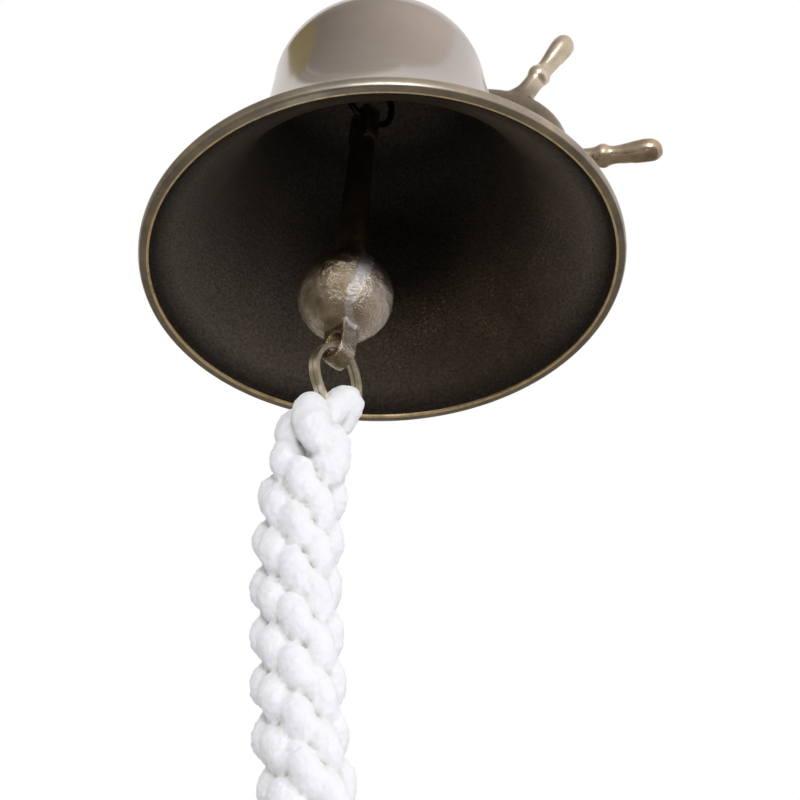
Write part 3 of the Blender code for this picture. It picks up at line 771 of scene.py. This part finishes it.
def make_split_ring():
    """The pull ring: two turns of squarish wire, its near half drawn in towards the lug."""
    brass = warm_brass("tarnished_ring_brass", (0.58, 0.51, 0.37), (0.95, 0.89, 0.74), 0.36, 220)
    centre, flat, through = ring_frame(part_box("pull_ring"), RING_TURN)
    coil = SPLIT_RING_WIDTH / 2 - SPLIT_RING_GAP
    sections = []
    for i in range(SPLIT_RING_STEPS + 1):
        t = i / SPLIT_RING_STEPS
        a = SPLIT_RING_START + FULL_TURN * SPLIT_RING_TURNS * t
        high = limit((math.sin(a) - SPLIT_RING_DRAW_FROM) / (1 - SPLIT_RING_DRAW_FROM))
        draw = 1 - SPLIT_RING_DRAW * high**2 if math.cos(a) < 0 else 1
        out = flat * (math.cos(a) * draw) + UP * math.sin(a)
        crossed = limit((t * SPLIT_RING_TURNS - SPLIT_RING_CROSSING) * SPLIT_RING_CROSS_RATE)
        shift = (crossed - 0.5) * SPLIT_RING_WIDTH / 2
        end = SPLIT_RING_END + (1 - SPLIT_RING_END) * limit(min(t, 1 - t) * SPLIT_RING_STEPS / 2)
        square = SPLIT_RING_SQUARE + SPLIT_RING_SQUARE_NEAR * limit(0.5 - math.cos(a))
        middle = centre + out * SPLIT_RING_MIDDLE + through * shift
        section = []
        for k in range(SPLIT_RING_SIDES):
            b = FULL_TURN * (k + 0.5) / SPLIT_RING_SIDES
            size = 1 / max(abs(math.cos(b)), abs(math.sin(b))) ** square / SPLIT_RING_FIT
            wide = out * (math.cos(b) * size * SPLIT_RING_WALL)
            section.append(middle + (wide + through * (math.sin(b) * size * coil)) * end)
        sections.append(section)
    bm = bmesh.new()
    skin(bm, sections)
    split = add("split_ring", bm, [brass], 60)
    stand_for(split, "pull_link", "ring_brass", "pull_ring")


def make_crown_ring():
    """The plain wire ring that carries the clapper."""
    centre, flat, through = ring_frame(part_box("crown_ring"), CROWN_RING_TURN)
    around = [FULL_TURN * k / CROWN_RING_SIDES for k in range(CROWN_RING_SIDES)]
    sections = []
    for i in range(CROWN_RING_STEPS):
        a = FULL_TURN * i / CROWN_RING_STEPS
        out = flat * math.cos(a) + UP * math.sin(a)
        wire = [(out * math.cos(b) + through * math.sin(b)) * CROWN_RING_WIRE for b in around]
        sections.append([centre + out * CROWN_RING_RADIUS + w for w in wire])
    bm = bmesh.new()
    skin(bm, sections, closed=True)
    dark = warm_brass("dark_ring_brass", (0.02, 0.016, 0.012), (0.06, 0.05, 0.035), 0.35, 300)
    ring = add("clapper_ring", bm, [dark], 60)
    stand_for(ring, "crown_link", "ring_brass", "crown_ring")


def make_bracket():
    """The wheel and the arm as castings, and looks for the fittings, which stay the plain solids."""
    wheel = cast_copy("ship_wheel", "wheel_casting", wheel_brass(), WHEEL_VOXEL, WHEEL_ROUNDS)
    stand_for(wheel, "bracket", "antique_brass", "ship_wheel")
    arm_brass = warm_brass("antique_brass_arm", (0.28, 0.22, 0.14), (0.52, 0.45, 0.34), 0.27, 45)
    arm = cast_copy("bracket_arm", "arm_casting", arm_brass, CAST_VOXEL, ARM_ROUNDS)
    stand_for(arm, "bracket", "antique_brass", "bracket_arm")
    fittings = warm_brass("brass_fittings", (0.32, 0.26, 0.16), (0.60, 0.52, 0.38), 0.22, 150)
    bolt = warm_brass("dark_brass_bolt", (0.05, 0.04, 0.028), (0.14, 0.11, 0.075), 0.4, 150)
    looks = {name: fittings for name in ("arm_screw_left", "arm_screw_right", "top_washer", "cap_nut")}
    looks["crown_eyebolt"] = bolt
    looks["inner_washer"] = looks["crown_washer"] = leather()
    for name, material in looks.items():
        node = nodes[name]
        node.data.materials.clear()
        node.data.materials.append(material)
        edges = node.modifiers.new("edges", "BEVEL")
        edges.width = FITTING_BEVEL
        edges.segments = 3
        edges.limit_method = "ANGLE"


sinnet_line = smooth_through([SADDLE + Vector((x, 0, z)) for x, z in SINNET_ROUTE], SINNET_POINTS)
sinnet_length = line_length(sinnet_line)


def along_sinnet(distance):
    """The place on the lanyard's centre line at a distance below its top, with its heading."""
    for a, b in zip(sinnet_line, sinnet_line[1:]):
        span = (b - a).length
        if distance <= span or b is sinnet_line[-1]:
            return a + (b - a) * (distance / span), (b - a).normalized()
        distance -= span


def side_axes(heading):
    """Two directions square to a heading that runs mostly up or down."""
    east = (Vector((1, 0, 0)) - heading * heading.x).normalized()
    return east, east.cross(heading)


def around_sinnet(distance, azimuth, radius):
    """The place at a distance down the lanyard, on a side of it and out from its centre line."""
    middle, heading = along_sinnet(distance)
    east, north = side_axes(heading)
    return middle + (east * math.cos(azimuth) + north * math.sin(azimuth)) * radius


def stitch(bm, spine, outward, width, depth):
    """A soft bulge of cord along a spine, rounded off at both ends."""
    around = [FULL_TURN * k / STITCH_SIDES for k in range(STITCH_SIDES)]
    sections = []
    last = len(spine) - 1
    for i, at in enumerate(spine):
        t = 2 * i / last - 1
        swell = max(STITCH_TIP, (1 - abs(t) ** STITCH_BLUNTNESS) ** 0.5)
        heading = (spine[min(i + 1, last)] - spine[max(i - 1, 0)]).normalized()
        side = heading.cross(outward).normalized()
        out = side.cross(heading)
        rim = [side * (math.cos(a) * width) + out * (math.sin(a) * depth) for a in around]
        sections.append([at + offset * swell for offset in rim])
    skin(bm, sections)


def plait_stitches(bm):
    """Columns of leaning stitches round the lanyard, each column half a pitch below its neighbour."""
    noise.seed_set(STITCH_SEED)
    rows = int(sinnet_length / PLAIT_PITCH) + PLAIT_SPARE_ROWS + 1
    for column in range(PLAIT_COLUMNS):
        azimuth = PLAIT_AZIMUTH + FULL_TURN * column / PLAIT_COLUMNS
        for row in range(-PLAIT_SPARE_ROWS, rows):
            middle = PLAIT_START + PLAIT_PITCH * (row + column / 2)
            if not PLAIT_TOP < middle < sinnet_length - PLAIT_END_GAP:
                continue
            spare = noise.noise_vector(Vector((column * 7.3, row * 3.7, 0.5)))
            reach = STITCH_LENGTH * (1 + STITCH_UNEVEN * spare.x)
            middle += STITCH_SHIFT * spare.y
            spine = []
            for i in range(2 * STITCH_HALF_POINTS + 1):
                t = i / STITCH_HALF_POINTS - 1
                down = middle + t * reach * math.cos(PLAIT_LEAN)
                turn = azimuth + t * reach * math.sin(PLAIT_LEAN) / STITCH_CENTRE
                spine.append(around_sinnet(down, turn, STITCH_CENTRE - STITCH_DIP * t * t))
            centre, _ = along_sinnet(middle)
            outward = (spine[STITCH_HALF_POINTS] - centre).normalized()
            width = STITCH_WIDTH * (1 + STITCH_UNEVEN * spare.z)
            stitch(bm, spine, outward, width, STITCH_DEPTH)


def mm(*offset):
    """A place given in millimetres from the saddle."""
    return SADDLE + Vector(offset) / 1000


def top_loops(bm):
    """The doubled cord over the ring, and the first cords that lead from it into the plait."""
    for count, width, depth, route in TOP_CORDS:
        spine = smooth_through([mm(*offset) for offset in route], count)
        stitch(bm, spine, CORD_FRONT, width, depth)


def core(bm):
    """A plain filling inside the plait."""
    end = sinnet_length - CORE_END_GAP
    azimuths = [FULL_TURN * k / CORE_SIDES for k in range(CORE_SIDES)]
    sections = []
    for i in range(CORE_STEPS + 1):
        down = CORE_START + (end - CORE_START) * i / CORE_STEPS
        sections.append([around_sinnet(down, azimuth, CORE_RADIUS) for azimuth in azimuths])
    skin(bm, sections)


def roughen(thing, lumps):
    """Moves a skin in and out by noise."""
    normals = [vertex.normal.copy() for vertex in thing.data.vertices]
    for vertex, normal in zip(thing.data.vertices, normals):
        vertex.co += normal * waves(vertex.co, lumps)


def paint_hollows(thing):
    """Stores how far each place lies below the skin's smoothed shape, which the cotton's colour turns into
    painted shade.
    """
    soften(thing, HOLLOW_ROUNDS)
    graph = bpy.context.evaluated_depsgraph_get()
    smoothed = thing.evaluated_get(graph).to_mesh()
    depths = [(b.co - a.co).dot(a.normal) for a, b in zip(thing.data.vertices, smoothed.vertices)]
    thing.modifiers.clear()
    paint(thing, "hollow", [limit(depth / HOLLOW_DEPTH) for depth in depths])


def make_cotton_skin(thing):
    """Turns a piece's cords into one soft, uneven skin that knows its hollows."""
    melt(thing, COTTON_VOXEL, COTTON_ROUNDS)
    roughen(thing, COTTON_LUMPS)
    paint_hollows(thing)


def make_lanyard():
    """The plaited lanyard with its end knot."""
    white = cotton()
    bm = bmesh.new()
    core(bm)
    plait_stitches(bm)
    top_loops(bm)
    lanyard = add("plaited_lanyard", bm, [white])
    make_cotton_skin(lanyard)
    solids = ("lanyard_sinnet", "lanyard_bight_front", "lanyard_bight_back")
    stand_for(lanyard, "lanyard", "white_cotton", *solids)
    end, heading = along_sinnet(sinnet_length)
    knot = make_knot(white, end + heading * (KNOT_HALF_HEIGHT + KNOT_GAP), heading)


def make_knot(white, centre, heading):
    """A round end knot: leaning cords in two rows about a filled middle."""
    east, north = side_axes(heading)

    def spot(azimuth, height, radius):
        """The place on a side of the knot, above its middle and out from its axis."""
        return centre + (east * math.cos(azimuth) + north * math.sin(azimuth)) * radius - heading * height

    bm = bmesh.new()
    azimuths = [FULL_TURN * k / KNOT_FILL_SIDES for k in range(KNOT_FILL_SIDES)]
    sections = []
    for i in range(KNOT_FILL_STEPS + 1):
        a = math.pi * (KNOT_FILL_POLE + (1 - 2 * KNOT_FILL_POLE) * i / KNOT_FILL_STEPS)
        height = KNOT_HALF_HEIGHT * KNOT_FILL_HEIGHT * math.cos(a)
        radius = KNOT_RADIUS * KNOT_FILL_RADIUS * math.sin(a)
        sections.append([spot(azimuth, height, radius) for azimuth in azimuths])
    skin(bm, sections)
    for row in range(KNOT_ROWS):
        for k in range(KNOT_CORDS):
            azimuth = FULL_TURN * (k + row / 2) / KNOT_CORDS
            spine = []
            for i in range(2 * KNOT_HALF_POINTS + 1):
                t = i / KNOT_HALF_POINTS - 1
                rise = KNOT_HALF_HEIGHT * (KNOT_ROW_TOP - KNOT_ROW_STEP * row - t * KNOT_ROW_LEAN)
                belly = math.sqrt(max(KNOT_LEAST_BELLY, 1 - (rise / KNOT_HALF_HEIGHT) ** 2))
                out = (KNOT_RADIUS - KNOT_INSET) * belly - KNOT_DIP * t * t
                spine.append(spot(azimuth + t * KNOT_SWEEP, rise, out))
            outward = (spine[KNOT_HALF_POINTS] - centre).normalized()
            stitch(bm, spine, outward, KNOT_WIDTH, KNOT_DEPTH)
    knot = add("lanyard_end_knot", bm, [white])
    make_cotton_skin(knot)
    stand_for(knot, "lanyard", "white_cotton", "lanyard_knot")
    return knot


def glow(name, stops):
    """A glowing material that shades along X between two (place, colour) stops."""
    material, tree, shader = node_material(name)
    tree.nodes.remove(shader)
    lit = tree.nodes.new("ShaderNodeEmission")
    share = share_along(tree, place(tree), "X", stops[0][0], stops[1][0])
    shade = ramp(tree, share, [(0, stops[0][1]), (1, stops[1][1])])
    tree.links.new(shade, lit.inputs["Color"])
    tree.links.new(lit.outputs["Emission"], tree.nodes["Material Output"].inputs["Surface"])
    return material


def reflector(name, stops, azimuths, heights, distance=1.6, round_top=0.0):
    """A card that only the metal sees, as part of a sphere about the bell; angles in degrees."""
    bm = bmesh.new()
    grid = []
    for i in range(CARD_COLUMNS + 1):
        share = 2 * i / CARD_COLUMNS - 1
        azimuth = math.radians(azimuths[0] + (azimuths[1] - azimuths[0]) * i / CARD_COLUMNS)
        drop = round_top * (1 - math.sqrt(max(0, 1 - share * share)))
        line = []
        for j in range(CARD_ROWS + 1):
            height = math.radians(heights[0] + (heights[1] - drop - heights[0]) * j / CARD_ROWS)
            flat = Vector((math.cos(azimuth), math.sin(azimuth), 0)) * math.cos(height)
            line.append(bm.verts.new(bell_mouth + (flat + UP * math.sin(height)) * distance))
        grid.append(line)
    for left, right in zip(grid, grid[1:]):
        for j in range(CARD_ROWS):
            bm.faces.new((left[j], right[j], right[j + 1], left[j + 1]))
    card = add(name, bm, [glow(name, stops)])
    card.visible_camera = False
    card.visible_diffuse = False
    card.visible_shadow = False


def make_cards():
    """The studio that the brass reflects: dim to the left and below, bright to the right and behind."""
    shades = [(-0.8, (0.31, 0.275, 0.245)), (0.8, (0.93, 0.85, 0.80))]
    reflector("front_card", shades, (-196, 38), (26, 89.5))
    shades = [(-1.6, (0.85, 0.80, 0.75)), (1.6, (0.95, 0.91, 0.87))]
    reflector("right_band", shades, (-64, 70), (-7, 26))
    shades = [(-1.6, (0.40, 0.36, 0.32)), (1.6, (0.55, 0.50, 0.45))]
    reflector("left_band", shades, (-200, -102), (-7, 26))
    shades = [(-1.0, (0.88, 0.85, 0.84)), (1.0, (0.88, 0.86, 0.86))]
    reflector("back_card", shades, (38, 182), (26, 89.5))
    shades = [(-1.5, (0.33, 0.28, 0.15)), (0, (0.36, 0.30, 0.17))]
    reflector("dark_card", shades, (159, 200), (20, 58.5), distance=1.5, round_top=9)
    shades = [(-0.6, (0.24, 0.215, 0.18)), (0.6, (0.29, 0.255, 0.21))]
    reflector("low_card", shades, (-180, 180), (-88, -7), distance=0.65)


def make_floor():
    """A plain pale floor, far below the bell."""
    bm = bmesh.new()
    bmesh.ops.create_grid(bm, x_segments=1, y_segments=1, size=FLOOR_HALF)
    material, _, shader = node_material("pale_floor")
    shader.inputs["Base Color"].default_value = FLOOR_TONE
    shader.inputs["Roughness"].default_value = 0.8
    floor = add("floor", bm, [material])
    floor.location = (0, 0, FLOOR_HEIGHT)


def make_sky():
    """A sky that is white to the eye and in reflections, and dimmer as a light."""
    world = bpy.data.worlds.new("studio")
    bpy.context.scene.world = world
    world.use_nodes = True
    tree = world.node_tree
    sky = tree.nodes["Background"]
    rays = tree.nodes.new("ShaderNodeLightPath")
    seen = rays.outputs["Is Camera Ray"]
    for kind in ("Is Glossy Ray", "Is Transmission Ray"):
        either = tree.nodes.new("ShaderNodeMath")
        either.operation = "MAXIMUM"
        tree.links.new(seen, either.inputs[0])
        tree.links.new(rays.outputs[kind], either.inputs[1])
        seen = either.outputs[0]
    level = tree.nodes.new("ShaderNodeMapRange")
    level.inputs["To Min"].default_value = SKY_LIGHT
    level.inputs["To Max"].default_value = SKY_SEEN
    tree.links.new(seen, level.inputs["Value"])
    tree.links.new(level.outputs["Result"], sky.inputs["Strength"])
    sky.inputs["Color"].default_value = (1, 1, 1, 1)


def lamp(name, at, target, size, power):
    """A round soft lamp that faces a target."""
    data = bpy.data.lights.new(name, "AREA")
    data.shape = "DISK"
    data.size = size
    data.energy = power
    thing = bpy.data.objects.new(name, data)
    thing.location = at
    thing.rotation_euler = (Vector(target) - Vector(at)).to_track_quat("-Z", "Y").to_euler()
    bpy.context.scene.collection.objects.link(thing)
    return thing


def make_lamps():
    """A key lamp low in front, and a side lamp that the metal doesn't show."""
    lamp("key", (0.56, -1.58, 0.02), (0, -0.10, -0.18), 0.6, 11)
    side = lamp("side", (1.55, -0.45, 0.10), (0, -0.10, -0.25), 0.7, 7.2)
    side.visible_glossy = False


def make_camera():
    """The camera, at the photograph's place and angle."""
    data = bpy.data.cameras.new("camera")
    data.lens = CAMERA_LENS
    data.sensor_width = CAMERA_SENSOR
    data.clip_start = CAMERA_NEAR
    camera = bpy.data.objects.new("camera", data)
    turn = Matrix((CAMERA_RIGHT, CAMERA_UP, CAMERA_BACK)).transposed().to_4x4()
    camera.matrix_world = Matrix.Translation(CAMERA_PLACE) @ turn
    bpy.context.scene.collection.objects.link(camera)
    bpy.context.scene.camera = camera


make_camera()
make_lanyard()
make_bell()
make_clapper()
make_split_ring()
make_crown_ring()
make_bracket()
make_floor()
make_cards()
make_sky()
make_lamps()
bpy.context.scene.view_settings.view_transform = "Standard"

bpy.context.view_layer.update()
